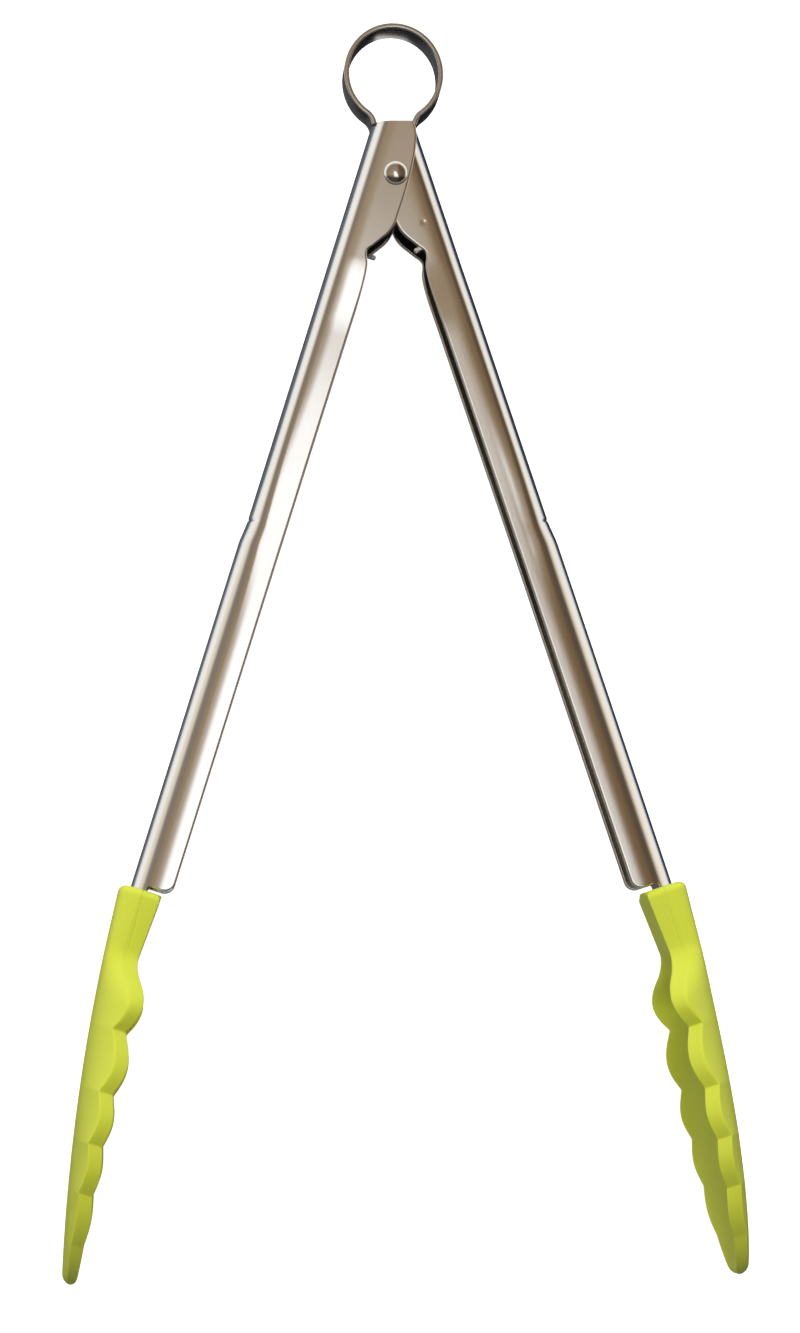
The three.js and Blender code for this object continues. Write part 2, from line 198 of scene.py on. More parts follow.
def reach_of(u, v):
    """How far round from the middle of the back the sheet is at height v."""
    back, deep, across = corner_at(u)
    turn = np.arccos(np.clip(1 - (v - back) / deep, 0, 1))
    return ARM_HALF - across + across * turn + np.maximum(v - back - deep, 0)


def edge_row(path, inset):
    """The path drawn in by inset within the sheet's own surface."""
    run = np.gradient(path, axis=0)
    run /= np.linalg.norm(run, axis=1)[:, None]
    u = path[:, 0] + inset * run[:, 1]
    v = path[:, 1] - inset * run[:, 0]
    return u, reach_of(u, np.maximum(v, BACK[1] + 0.4))


def arm_rows(path):
    """Surface places (u, reach, depth) of one half of the channel, edge first."""
    drop = np.flatnonzero(np.abs(path[:, 0] - FLANGE_END) < 1e-6)
    spread = np.interp(np.arange(len(path)), [drop[0] - 9, drop[0], drop[-1], drop[-1] + 7],
                       [0, -1.2, 1.2, 0])
    by_top = 1 - smooth(path[:, 0], -13.5, 2.0)
    edge_u, edge_reach = edge_row(path, EDGE_ROUND)
    rows = []
    for share in np.linspace(1, 0, SKIN_ROWS):
        reach = edge_reach * share
        v = channel_point(edge_u, reach, 0)[:, 1]
        slant = (v - path[:, 1]) * -math.tan(ARM_OPEN) * by_top
        rows.append((edge_u + slant + spread * (1 - share), reach))
    rim = []
    for inset, depth in ((0.3 * EDGE_ROUND, 0.3 * EDGE_ROUND), (0, EDGE_ROUND)):
        u, reach = edge_row(path, inset)
        rim.append((u, reach, depth))
    return rows, rim


def arm_loops():
    """Closed loops round the sheet, one for each step down the arm."""
    halves = [arm_rows(free_edge(cut)) for cut in (OUTER_EAR_CUT, INNER_EAR_CUT)]
    columns = []

    def add(u, reach, depth):
        columns.append((u, reach, np.broadcast_to(depth, u.shape)))

    (outer_rows, outer_rim), (inner_rows, inner_rim) = halves
    for u, reach, depth in reversed(outer_rim):
        add(u, reach, depth)
    for u, reach in outer_rows:
        add(u, reach, 0.0)
    for u, reach in reversed(inner_rows[:-1]):
        add(u, -reach, 0.0)
    for u, reach, depth in inner_rim:
        add(u, -reach, depth)
    for u, reach, depth in reversed(inner_rim):
        add(u, -reach, SHEET - depth)
    for u, reach in inner_rows[:-1]:
        add(u, -reach, SHEET)
    for u, reach in reversed(outer_rows):
        add(u, reach, SHEET)
    for u, reach, depth in outer_rim:
        add(u, reach, SHEET - depth)
    u, reach, depth = (np.stack(part, axis=1) for part in zip(*columns))
    heads = []
    for down, inset in ((0.0, EDGE_ROUND), (0.3 * EDGE_ROUND, 0.3 * EDGE_ROUND)):
        heads.append((u[0] + down, reach[0], np.clip(depth[0], inset, SHEET - inset)))
    u[0] += EDGE_ROUND
    u = np.vstack([[h[0] for h in heads], u])
    reach = np.vstack([[h[1] for h in heads], reach])
    depth = np.vstack([[h[2] for h in heads], depth])
    return channel_point(u, reach, depth), np.stack([u, reach], axis=-1)


def sheet_mesh(name, loops, side, surface, place_uv, cap_pairs):
    """A closed skin through the loops, its two ends closed by strips or fans."""
    rows, count = loops.shape[:2]
    at = np.arange(rows * count).reshape(rows, count)
    ahead = np.roll(at, -1, axis=1)
    quads = np.stack([at[:-1], at[1:], ahead[1:], ahead[:-1]], axis=-1).reshape(-1, 4)
    faces = [tuple(int(i) for i in quad) for quad in quads]
    for row, order in ((0, 1), (rows - 1, -1)):
        for pair in cap_pairs(count):
            face = [int(at[row, i]) for i in pair][::order]
            faces.append(tuple(face))
    mesh = bpy.data.meshes.new(name)
    mesh.from_pydata(in_place(loops.reshape(-1, 3), side).tolist(), [], faces)
    mesh.materials.append(surface)
    flat_uv = place_uv.reshape(-1, 2) / 100
    layer = mesh.uv_layers.new(name="surface")
    corners = np.empty(len(mesh.loops), dtype=np.int32)
    mesh.loops.foreach_get("vertex_index", corners)
    layer.data.foreach_set("uv", flat_uv[corners].astype(np.float32).ravel())
    mesh.shade_smooth()
    mesh.set_sharp_from_angle(angle=math.radians(50))
    mesh.validate()
    thing = bpy.data.objects.new(name, mesh)
    bpy.context.scene.collection.objects.link(thing)
    return thing


def strip_caps(count):
    """Four sided faces across the sheet at an end of the channel."""
    half = count // 2
    return [(i, i + 1, count - 2 - i, count - 1 - i) for i in range(half - 1)]


def new_surface(name):
    """A new material, its node tree and its shader node."""
    surface = bpy.data.materials.new(name)
    surface.use_nodes = True
    nodes = surface.node_tree.nodes
    return surface, surface.node_tree, nodes["Principled BSDF"]


def brushed_steel(name, colour, rough, grain_scale, coordinate, grain_bump):
    """Stainless steel with a fine grain that runs along the strip."""
    surface, tree, shader = new_surface(name)
    shader.inputs["Metallic"].default_value = 1.0
    where = tree.nodes.new("ShaderNodeTexCoord")
    stretch = tree.nodes.new("ShaderNodeMapping")
    stretch.inputs["Scale"].default_value = grain_scale
    grain = tree.nodes.new("ShaderNodeTexNoise")
    grain.inputs["Scale"].default_value = 1.0
    grain.inputs["Detail"].default_value = 3.0
    cloud = tree.nodes.new("ShaderNodeTexNoise")
    cloud.inputs["Scale"].default_value = 40.0
    tone = tree.nodes.new("ShaderNodeValToRGB")
    tone.color_ramp.elements[0].color = [0.94 * c for c in colour] + [1]
    tone.color_ramp.elements[1].color = [min(1.03 * c, 1) for c in colour] + [1]
    gloss = tree.nodes.new("ShaderNodeMapRange")
    gloss.inputs["To Min"].default_value = rough * 0.85
    gloss.inputs["To Max"].default_value = rough * 1.2
    bump = tree.nodes.new("ShaderNodeBump")
    bump.inputs["Strength"].default_value = grain_bump
    bump.inputs["Distance"].default_value = 0.00002
    link = tree.links.new
    link(where.outputs[coordinate], stretch.inputs["Vector"])
    link(stretch.outputs["Vector"], grain.inputs["Vector"])
    link(where.outputs["Object"], cloud.inputs["Vector"])
    link(cloud.outputs["Fac"], tone.inputs["Fac"])
    link(tone.outputs["Color"], shader.inputs["Base Color"])
    link(grain.outputs["Fac"], gloss.inputs["Value"])
    link(gloss.outputs["Result"], shader.inputs["Roughness"])
    link(grain.outputs["Fac"], bump.inputs["Height"])
    link(bump.outputs["Normal"], shader.inputs["Normal"])
    return surface


def crotch_lug(name, side, surface):
    """The small round-topped lug folded in from the inner flange just above the notch."""
    top = np.linspace(math.pi, 0, 9)
    outline = [
        (LUG_PLACE - LUG_ROUND, LUG_FOOT),
        *((LUG_PLACE + LUG_ROUND * math.cos(a), LUG_TOP - LUG_ROUND + LUG_ROUND * math.sin(a))
          for a in top),
        (LUG_PLACE + LUG_ROUND, LUG_FOOT),
    ]
    low = -ARM_HALF + NEST_SHIFT + SHEET / 2
    bm = bmesh.new()
    rings = [[bm.verts.new((u, v, low + rise)) for u, v in outline] for rise in (0, LUG_DEPTH)]
    bm.faces.new(rings[0])
    bm.faces.new(rings[1][::-1])
    for i in range(len(outline)):
        j = (i + 1) % len(outline)
        bm.faces.new((rings[0][j], rings[0][i], rings[1][i], rings[1][j]))
    bmesh.ops.bevel(bm, geom=rings[1] + list(bm.edges), offset=LUG_BEVEL, segments=2,
                    affect="EDGES")
    spots = in_place([vert.co for vert in bm.verts], side)
    for vert, spot in zip(bm.verts, spots):
        vert.co = spot
    bmesh.ops.recalc_face_normals(bm, faces=bm.faces)
    mesh = bpy.data.meshes.new(name)
    bm.to_mesh(mesh)
    bm.free()
    mesh.materials.append(surface)
    thing = bpy.data.objects.new(name, mesh)
    bpy.context.scene.collection.objects.link(thing)
    return thing


arm_steel = brushed_steel("arm_steel", (0.87, 0.86, 0.84), 0.14, (30, 900, 1), "UV", 0.12)
lug_steel = brushed_steel("lug_steel", (0.87, 0.86, 0.84), 0.25, (900, 900, 900), "Object", 0.05)
loops, surface_uv = arm_loops()
for arm_name, side, body in (("left", -1, "left"), ("right", 1, "right")):
    arm = sheet_mesh(arm_name + "_channel", loops, side, arm_steel, surface_uv, strip_caps)
    lug = crotch_lug(arm_name + "_lug", side, lug_steel)
    for part in (arm, lug):
        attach(part, body)
        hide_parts(arm_name + "_arm")

# ---- Silicone scoops ------------------------------------------------------------------
# Each scoop is one moulding of lime silicone pushed over the arm's tang: a square sleeve
# that narrows to a neck, then a shallow leaf-shaped dish with five lobes along each side.
# The rim ends in a flat band, and a faint parting line runs down the sleeve's sides.
SLEEVE_TOP = 178.4
NECK = 195.6
SCOOP_END = 267.7
LOBES = (  # length and height of each, from the neck down
    (15.0, 3.4), (14.1, 2.2), (11.6, 1.45), (11.0, 1.1), (11.2, 0.75),
)
LOBE_SPLAY = 0.6  # sideways for each millimetre of a lobe's height
SCOOP_WIDEST = 235.6
SCOOP_HALF = 18.15
SCOOP_WALL = 3.3
BACK_AT_MOUTH = -11.88
BACK_SLOPE = 0.08
BEND_START = 190.0
TIP_RISE = 7.3
CUSP_AT_MOUTH = -1.85
CUSP_AT_NECK = -2.85
FIRST_CUSP = -0.25
CUSP_SLOPE = 0.1
LATE_LIFT = (0.45, 240.0, 264.0)  # extra rise of the valleys near the tip, and where
SLEEVE_HALF = 7.1
CREASE = -6.6
SLEEVE_SWELL = 1.0  # how far the flank stands out past the rim
BOWL_SWELL = 1.6
BAND = 3.3
BAND_FOLLOW = 0.75  # share of a lobe's height that the foot of the band follows
LEAST_LIP = 0.12
POCKET_MIDDLE = -7.1
POCKET_HALF = (2.65, 6.1)
POCKET_DEEP = 5.0
TIP_ROUND = 2.0
MOUTH_ROUND = 1.8
SECTION_FLANK = 16  # points round a flank, and across half the dish
SECTION_DISH = 16


def scoop_back(u):
    """The scoop's spine, straight along the sleeve and then bending in to the tip."""
    bend = np.maximum(u - BEND_START, 0) / (SCOOP_END - BEND_START)
    return BACK_AT_MOUTH + BACK_SLOPE * (u - SLEEVE_TOP) + TIP_RISE * bend * bend


def cusp_line(u):
    """The smooth line that the valleys between the lobes lie on."""
    first_cusp = NECK + LOBES[0][0]
    if u < NECK:
        return lerp(CUSP_AT_MOUTH, CUSP_AT_NECK, (u - SLEEVE_TOP) / (NECK - SLEEVE_TOP))
    if u < first_cusp:
        return lerp(CUSP_AT_NECK, FIRST_CUSP, (u - NECK) / LOBES[0][0])
    lift, start, end = LATE_LIFT
    return FIRST_CUSP + CUSP_SLOPE * (u - first_cusp) + lift * smooth(u, start, end)


def lobe_height(u):
    """How far the lobe at u stands above the line of the valleys."""
    start = NECK
    for length, height in LOBES:
        if start <= u < start + length:
            return height * math.sin(math.pi * (u - start) / length) ** 0.88
        start += length
    return 0.0


def scoop_rim(u):
    """Inner edge of the rim: wide and soft at the neck, crisp in the other valleys."""
    spread = lerp(2.6, 0.22, smooth(abs(u - NECK), 1.5, 6.0))
    around = u + spread * np.linspace(-1, 1, 9)
    return float(np.mean([cusp_line(x) + lobe_height(x) for x in around]))


def scoop_half_width(u):
    """Half the width between the rims: a square sleeve, then a leaf that closes at the tip."""
    leaf = (smooth(u, NECK - 3.5, NECK + 10) + smooth(u, NECK + 2, SCOOP_WIDEST)) / 2
    taper = np.clip((u - SCOOP_WIDEST) / (SCOOP_END - SCOOP_WIDEST), 0, 1)
    return lerp(SLEEVE_HALF, SCOOP_HALF - 0.4, leaf) * math.sqrt(1 - taper ** 1.55)


def rounded(points, radii):
    """The open polyline with its inner corners turned, each by its own radius."""
    out = [points[0]]
    for before, here, after, radius in zip(points, points[1:], points[2:], radii):
        here = np.array(here)
        to, onward = np.array(before) - here, np.array(after) - here
        a = here + to * min(radius / max(np.linalg.norm(to), 1e-6), 0.5)
        b = here + onward * min(radius / max(np.linalg.norm(onward), 1e-6), 0.5)
        out.extend([a, *corner_curve(a, here, b, 5)])
    out.append(points[-1])
    return out


def scoop_section(u, inset=0.0):
    """One closed section across the scoop: back, flanks, end bands, rims and the dish."""
    dish = smooth(u, NECK - 4, NECK + 10)
    into_tip = np.clip((u - SCOOP_END + TIP_ROUND) / TIP_ROUND, 0, 0.992)
    tip = math.sqrt(1 - into_tip ** 2)
    back_v, level_v = scoop_back(u), cusp_line(u)
    raised = max(scoop_rim(u) - level_v, 0.0) * tip
    band = min(BAND, 0.62 * (level_v - back_v))
    foot_v = lerp(CREASE, level_v - band, smooth(u, NECK - 4, NECK + 3))
    middle = (back_v + level_v) / 2
    back, level, foot = (lerp(middle, v, tip) for v in (back_v, level_v, foot_v))
    floor = lerp(level, min(lerp(middle, back_v + SCOOP_WALL, tip), level), dish)
    inner = max(scoop_half_width(u) - inset, 1.2 * tip)
    outer = inner + lerp(SLEEVE_SWELL, BOWL_SWELL, dish) * tip
    back += inset
    level -= inset
    step = max(raised, LEAST_LIP)
    foot_raise = BAND_FOLLOW * raised * dish
    foot_low = np.array([foot + foot_raise, outer + LOBE_SPLAY * foot_raise])
    foot_step = max((1 - BAND_FOLLOW) * raised, LEAST_LIP)
    foot_top = foot_low + foot_step * np.array([1, LOBE_SPLAY * dish])
    rim_top = np.array([level + raised, inner + LOBE_SPLAY * raised])
    rim_low = rim_top - step * np.array([dish, 1 - (1 - LOBE_SPLAY) * dish])
    flank = []
    for t in np.linspace(0, 1, SECTION_FLANK):
        turn = t * math.pi / 2
        box = (foot - (foot - back) * math.cos(turn) ** 0.5, outer * math.sin(turn) ** 0.5)
        bowl = (back + (foot - back) * t ** 3 + foot_raise * t ** 6,
                outer * t + LOBE_SPLAY * foot_raise * t ** 6)
        flank.append(np.array(box) * (1 - dish) + np.array(bowl) * dish)
    dip = [(floor + (rim_low[0] - floor) * t ** 4, rim_low[1] * t)
           for t in np.linspace(1, 0, SECTION_DISH)]
    soft = (1.6 * tip, lerp(1.6, 0.9, dish) * tip, lerp(1.3, 0.5, dish) * tip, 1.5 * tip)
    turned = rounded([flank[-2], foot_low, foot_top, rim_top, rim_low, dip[1]], soft)
    half = flank[:-2] + turned + [np.array(p) for p in dip[2:]]
    mirror = [(v, -w) for v, w in half[1:-1]][::-1]
    return np.array([(u, v, w) for v, w in list(half) + mirror])[::-1]


def scoop_steps():
    """Where the sections stand, close together at the mouth, the cusps and the tip."""
    steps = list(np.linspace(SLEEVE_TOP + 2.2, NECK, 24))
    start = NECK
    shares = (0.01, 0.03, 0.06, 0.1, 0.16, 0.24, 0.33, 0.42, 0.51, 0.6, 0.69, 0.77, 0.84,
              0.9, 0.94, 0.97, 0.99, 1.0)
    for length, _ in LOBES:
        steps += [start + length * share for share in shares]
        start += length
    steps += list(np.linspace(start + 0.8, SCOOP_END - TIP_ROUND - 0.2, 9))
    steps = [u for u in steps if u < SCOOP_END - TIP_ROUND]
    return steps + [SCOOP_END - TIP_ROUND * (1 - math.sin(a))
                    for a in np.linspace(0.02, 1.44, 16)]


def scoop_loops():
    """Every section of the scoop, and a short square pocket at the mouth for the tang."""
    lip = [(MOUTH_ROUND * (1 - math.cos(a)), MOUTH_ROUND * (1 - math.sin(a)))
           for a in np.linspace(0, math.pi / 2, 9)]
    loops = [scoop_section(SLEEVE_TOP + down, inset) for down, inset in lip]
    loops += [scoop_section(u) for u in scoop_steps()]
    mouth = loops[0].copy()
    centre = np.array([POCKET_MIDDLE, 0.0])
    for row in mouth:
        off = (row[1:] - centre) / np.array(POCKET_HALF)
        row[1:] = centre + off / max(np.abs(off).max(), 1e-6) * np.array(POCKET_HALF)
    pocket = mouth.copy()
    pocket[:, 0] += POCKET_DEEP
    return np.array([pocket, mouth, *loops])


def fan_caps(count):
    """One face across the whole loop."""
    return [tuple(range(count))]


# The sleeve's parting line, in the UV map's units of 100 mm: its rise along the sleeve,
# how far below the rivet's line it would start, its width and where it fades out.
SEAM_RISE = 0.042
SEAM_LOW = 0.1339
SEAM_WIDTH = 0.0035
SEAM_FADE = (1.90, 1.96)

silicone, tree, shader = new_surface("lime_silicone")
shader.inputs["Roughness"].default_value = 0.5
shader.inputs["Specular IOR Level"].default_value = 0.5
shader.inputs["Subsurface Weight"].default_value = 0.12
shader.inputs["Subsurface Radius"].default_value = (0.004, 0.004, 0.001)
shader.inputs["Subsurface Scale"].default_value = 0.6
where = tree.nodes.new("ShaderNodeTexCoord")
mottle = tree.nodes.new("ShaderNodeTexNoise")
mottle.inputs["Scale"].default_value = 55.0
tint = tree.nodes.new("ShaderNodeValToRGB")
tint.color_ramp.elements[0].color = (0.515, 0.57, 0.042, 1)
tint.color_ramp.elements[1].color = (0.555, 0.60, 0.05, 1)
skin = tree.nodes.new("ShaderNodeTexNoise")
skin.inputs["Scale"].default_value = 2600.0
skin.inputs["Detail"].default_value = 2.0
seam_place = tree.nodes.new("ShaderNodeSeparateXYZ")
seam_line = tree.nodes.new("ShaderNodeMath")
seam_line.operation = "MULTIPLY_ADD"
seam_line.inputs[1].default_value = -SEAM_RISE
seam_line.inputs[2].default_value = SEAM_LOW
seam_off = tree.nodes.new("ShaderNodeMath")
seam_off.operation = "ADD"
seam_size = tree.nodes.new("ShaderNodeMath")
seam_size.operation = "ABSOLUTE"
seam = tree.nodes.new("ShaderNodeMapRange")
seam.inputs["From Min"].default_value = 0.0
seam.inputs["From Max"].default_value = SEAM_WIDTH
seam.inputs["To Min"].default_value = 1.0
seam.inputs["To Max"].default_value = 0.0
seam_end = tree.nodes.new("ShaderNodeMapRange")
seam_end.inputs["From Min"].default_value = SEAM_FADE[0]
seam_end.inputs["From Max"].default_value = SEAM_FADE[1]
seam_end.inputs["To Min"].default_value = 1.0
seam_end.inputs["To Max"].default_value = 0.0
seam_height = tree.nodes.new("ShaderNodeMath")
seam_height.operation = "MULTIPLY"
skin_height = tree.nodes.new("ShaderNodeMath")
skin_height.operation = "MULTIPLY_ADD"
skin_height.inputs[1].default_value = 0.04
bump = tree.nodes.new("ShaderNodeBump")
bump.inputs["Strength"].default_value = 0.5
bump.inputs["Distance"].default_value = 0.00012
link = tree.links.new
link(where.outputs["Object"], mottle.inputs["Vector"])
link(mottle.outputs["Fac"], tint.inputs["Fac"])
link(tint.outputs["Color"], shader.inputs["Base Color"])
link(where.outputs["Object"], skin.inputs["Vector"])
link(where.outputs["UV"], seam_place.inputs["Vector"])
link(seam_place.outputs["X"], seam_line.inputs[0])
link(seam_place.outputs["Y"], seam_off.inputs[0])
link(seam_line.outputs[0], seam_off.inputs[1])
link(seam_off.outputs[0], seam_size.inputs[0])
link(seam_size.outputs[0], seam.inputs["Value"])
link(seam_place.outputs["X"], seam_end.inputs["Value"])
link(seam.outputs["Result"], seam_height.inputs[0])
link(seam_end.outputs["Result"], seam_height.inputs[1])
link(skin.outputs["Fac"], skin_height.inputs[0])
link(seam_height.outputs[0], skin_height.inputs[2])
link(skin_height.outputs[0], bump.inputs["Height"])
link(bump.outputs["Normal"], shader.inputs["Normal"])

loops = scoop_loops()
for scoop_name, side in (("left", -1), ("right", 1)):
    scoop = sheet_mesh(scoop_name + "_silicone", loops, side, silicone, loops[:, :, :2],
                       fan_caps)
    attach(scoop, scoop_name)
    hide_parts(scoop_name + "_scoop")

# ---- Spring ring ----------------------------------------------------------------------
# A flat strip of spring steel bent to a ring, its two legs running down to the tops of
# the arms' backs. It pushes the arms open and the tongs hang by it. Each half is swept
# along its own path.
RING_HALF_WIDTH = 11.8
RING_HALF_HEIGHT = 12.3
RING_RISE = 25.0
RING_LEG_ANGLE = math.radians(-55)
RING_FOOT = 4.75
FOOT_GAP = 0.35
LEG_PULL = 1.6
STRIP = 1.25
STRIP_WIDTH = 8.4
STRIP_EDGE = 0.3


def ring_path(side):
    """The middle line of the strip, from the top of the ring down to its foot."""
    half = STRIP / 2
    angles = np.linspace(math.pi / 2, RING_LEG_ANGLE, 60)
    x = (RING_HALF_WIDTH - half) * np.cos(angles)
    y = RING_RISE + (RING_HALF_HEIGHT - half) * np.sin(angles)
    end = np.array([x[-1], y[-1]])
    heading = end - np.array([x[-2], y[-2]])
    pull = end + LEG_PULL * heading / np.linalg.norm(heading)
    leg = corner_curve(end, pull, (RING_FOOT, ARM_TOP - FOOT_GAP), 14)
    x, y = np.append(x, leg[:, 0]), np.append(y, leg[:, 1])
    line = np.column_stack([side * x, y, np.zeros(len(x))])
    return line / 1000 + np.array(PIVOT)


strip_tree = bpy.data.node_groups.new("bent strip", "GeometryNodeTree")
face = strip_tree.interface
face.new_socket("Geometry", in_out="INPUT", socket_type="NodeSocketGeometry")
for socket_name in ("Thickness", "Width", "Edge Radius"):
    face.new_socket(socket_name, in_out="INPUT", socket_type="NodeSocketFloat")
face.new_socket("Material", in_out="INPUT", socket_type="NodeSocketMaterial")
face.new_socket("Geometry", in_out="OUTPUT", socket_type="NodeSocketGeometry")
into = strip_tree.nodes.new("NodeGroupInput")
path = strip_tree.nodes.new("GeometryNodeMeshToCurve")
upright = strip_tree.nodes.new("GeometryNodeSetCurveNormal")
upright.mode = "Z_UP"
outline = strip_tree.nodes.new("GeometryNodeCurvePrimitiveQuadrilateral")
eased = strip_tree.nodes.new("GeometryNodeFilletCurve")
eased.mode = "POLY"
eased.inputs["Count"].default_value = 3
sweep = strip_tree.nodes.new("GeometryNodeCurveToMesh")
sweep.inputs["Fill Caps"].default_value = True
shade = strip_tree.nodes.new("GeometryNodeSetShadeSmooth")
real = strip_tree.nodes.new("GeometryNodeRealizeInstances")
paint = strip_tree.nodes.new("GeometryNodeSetMaterial")
out = strip_tree.nodes.new("NodeGroupOutput")
link = strip_tree.links.new
link(into.outputs["Geometry"], path.inputs["Mesh"])
link(path.outputs["Curve"], upright.inputs["Curve"])
link(into.outputs["Thickness"], outline.inputs["Width"])
link(into.outputs["Width"], outline.inputs["Height"])
link(outline.outputs["Curve"], eased.inputs["Curve"])
link(into.outputs["Edge Radius"], eased.inputs["Radius"])
link(upright.outputs["Curve"], sweep.inputs["Curve"])
link(eased.outputs["Curve"], sweep.inputs["Profile Curve"])
link(sweep.outputs["Mesh"], shade.inputs["Geometry"])
link(shade.outputs["Geometry"], real.inputs["Geometry"])
link(real.outputs["Geometry"], paint.inputs["Geometry"])
link(into.outputs["Material"], paint.inputs["Material"])
link(paint.outputs["Geometry"], out.inputs["Geometry"])


def grown(name, tree, line, **inputs):
    """The tree run on a line of points, and what it makes kept as a plain mesh."""
    seed = bpy.data.meshes.new(name + " line")
    edges = [(i, i + 1) for i in range(len(line) - 1)]
    seed.from_pydata([tuple(p) for p in line], edges, [])
    holder = bpy.data.objects.new(name + " holder", seed)
    bpy.context.scene.collection.objects.link(holder)
    modifier = holder.modifiers.new("grow", "NODES")
    modifier.node_group = tree
    for item in tree.interface.items_tree:
        if item.in_out == "INPUT" and item.name in inputs:
            modifier[item.identifier] = inputs[item.name]
    held = holder.evaluated_get(bpy.context.evaluated_depsgraph_get())
    mesh = bpy.data.meshes.new_from_object(held)
    mesh.name = name
    bpy.data.objects.remove(holder)
    mesh.set_sharp_from_angle(angle=math.radians(60))
    thing = bpy.data.objects.new(name, mesh)
    bpy.context.scene.collection.objects.link(thing)
    return thing


spring_steel = brushed_steel("spring_steel", (0.66, 0.64, 0.61), 0.24, (200, 200, 3000),
                             "Object", 0.1)
for half_name, side in (("left", -1), ("right", 1)):
    half_ring = grown(
        "ring_half_" + half_name, strip_tree, ring_path(side),
        Thickness=STRIP / 1000, Width=STRIP_WIDTH / 1000,
        **{"Edge Radius": STRIP_EDGE / 1000, "Material": spring_steel},
    )
    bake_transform(half_ring)
    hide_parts("spring_ring")

# ---- Rivet ----------------------------------------------------------------------------
# The arms turn on a two part rivet of polished stainless steel: a headed pin driven into
# a headed tube, with a plain spacer sleeve round it between the inner flanges.
HEAD_RADIUS = 2.85
HEAD_HEIGHT = 1.5
HEAD_EDGE = 0.25
TUBE_RADIUS = 1.9
TUBE_LENGTH = 12.4
TUBE_FLOOR = 1.5
PIN_RADIUS = 1.0
PIN_LENGTH = 11.0
PIN_CHAMFER = 0.2
PIN_CLEARANCE = 0.15
SPACER_BORE = 2.2
SPACER_RADIUS = 3.2
STACK_HALF = ARM_HALF + NEST_SHIFT
SPACER_HALF = ARM_HALF - SHEET - NEST_SHIFT - 0.3


def domed_head():
    """Half the outline of a head: a short upright edge, then the dome up to the axis."""
    turn = np.linspace(0, math.pi / 2, 15)[:-1]
    rise = HEAD_EDGE + (HEAD_HEIGHT - HEAD_EDGE) * np.sin(turn)
    return [(HEAD_RADIUS - 0.2, 0), (HEAD_RADIUS - 0.05, 0.06),
            *zip(HEAD_RADIUS * np.cos(turn), rise), (0, HEAD_HEIGHT)]


def turned_piece(name, profile, flip, lift, surface):
    """A solid of revolution about the rivet's axis, from a profile that may close on it."""
    sides = 64
    points, faces, rings = [], [], []
    for radius, rise in profile:
        height = (-rise if flip else rise) + lift
        if radius < 1e-9:
            rings.append([len(points)] * sides)
            points.append((0, 0, height))
            continue
        rings.append([len(points) + i for i in range(sides)])
        for i in range(sides):
            a = 2 * math.pi * i / sides * (-1 if flip else 1)
            points.append((radius * math.cos(a), radius * math.sin(a), height))
    for low, high in zip(rings, rings[1:]):
        for i in range(sides):
            j = (i + 1) % sides
            face = [low[i], low[j], high[j], high[i]]
            faces.append(tuple(dict.fromkeys(face)))
    mesh = bpy.data.meshes.new(name)
    placed = [tuple(Vector(p) / 1000 + PIVOT) for p in points]
    mesh.from_pydata(placed, [], faces)
    mesh.materials.append(surface)
    mesh.shade_smooth()
    mesh.set_sharp_from_angle(angle=math.radians(40))
    thing = bpy.data.objects.new(name, mesh)
    bpy.context.scene.collection.objects.link(thing)
    return thing


rivet_steel = brushed_steel("rivet_steel", (0.92, 0.9, 0.87), 0.12, (900, 900, 900),
                            "Object", 0.03)
seat = STACK_HALF + 0.02
pin_profile = [
    (0, -PIN_LENGTH), (PIN_RADIUS - PIN_CHAMFER, -PIN_LENGTH),
    (PIN_RADIUS, PIN_CHAMFER - PIN_LENGTH), (PIN_RADIUS, 0), *domed_head(),
]
tube_bore = PIN_RADIUS + PIN_CLEARANCE
tube_profile = [
    (0, -TUBE_FLOOR), (tube_bore, -TUBE_FLOOR), (tube_bore, -TUBE_LENGTH),
    (TUBE_RADIUS, -TUBE_LENGTH), (TUBE_RADIUS, 0), *domed_head(),
]
spacer_profile = [
    (SPACER_BORE, -SPACER_HALF), (SPACER_RADIUS, -SPACER_HALF),
    (SPACER_RADIUS, SPACER_HALF), (SPACER_BORE, SPACER_HALF), (SPACER_BORE, -SPACER_HALF),
]
for piece_name, profile, flip, lift, node in (
    ("rivet_pin_head_up", pin_profile, False, seat, "rivet_pin"),
    ("rivet_tube_head_down", tube_profile, True, -seat, "rivet_tube"),
    ("rivet_spacer_sleeve", spacer_profile, False, 0, "rivet_spacer"),
):
    part = turned_piece(piece_name, profile, flip, lift, rivet_steel)
    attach(part, "ring")
    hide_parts(node)

# ---- Floor, light and camera ----------------------------------------------------------
# The tongs lie on a plain white table. The steel mirrors the room: a broad white panel
# overhead, brownish walls beyond its edges, bright low down and dark below the table.
# The panel's edges are given as x and y of the direction that looks towards them. Its
# right edge leans: it lies where PANEL_LEAN times x, plus y, comes to PANEL_RIGHT.
FLOOR_HALF = 4.0
PANEL_LEAN = 2.0
PANEL_RIGHT = 0.375
PANEL_LEFT = -0.07
PANEL_FRONT = -0.2
PANEL_REAR = 0.241
RIGHT_SOFTNESS = 0.7
LEFT_SOFTNESS = 0.3

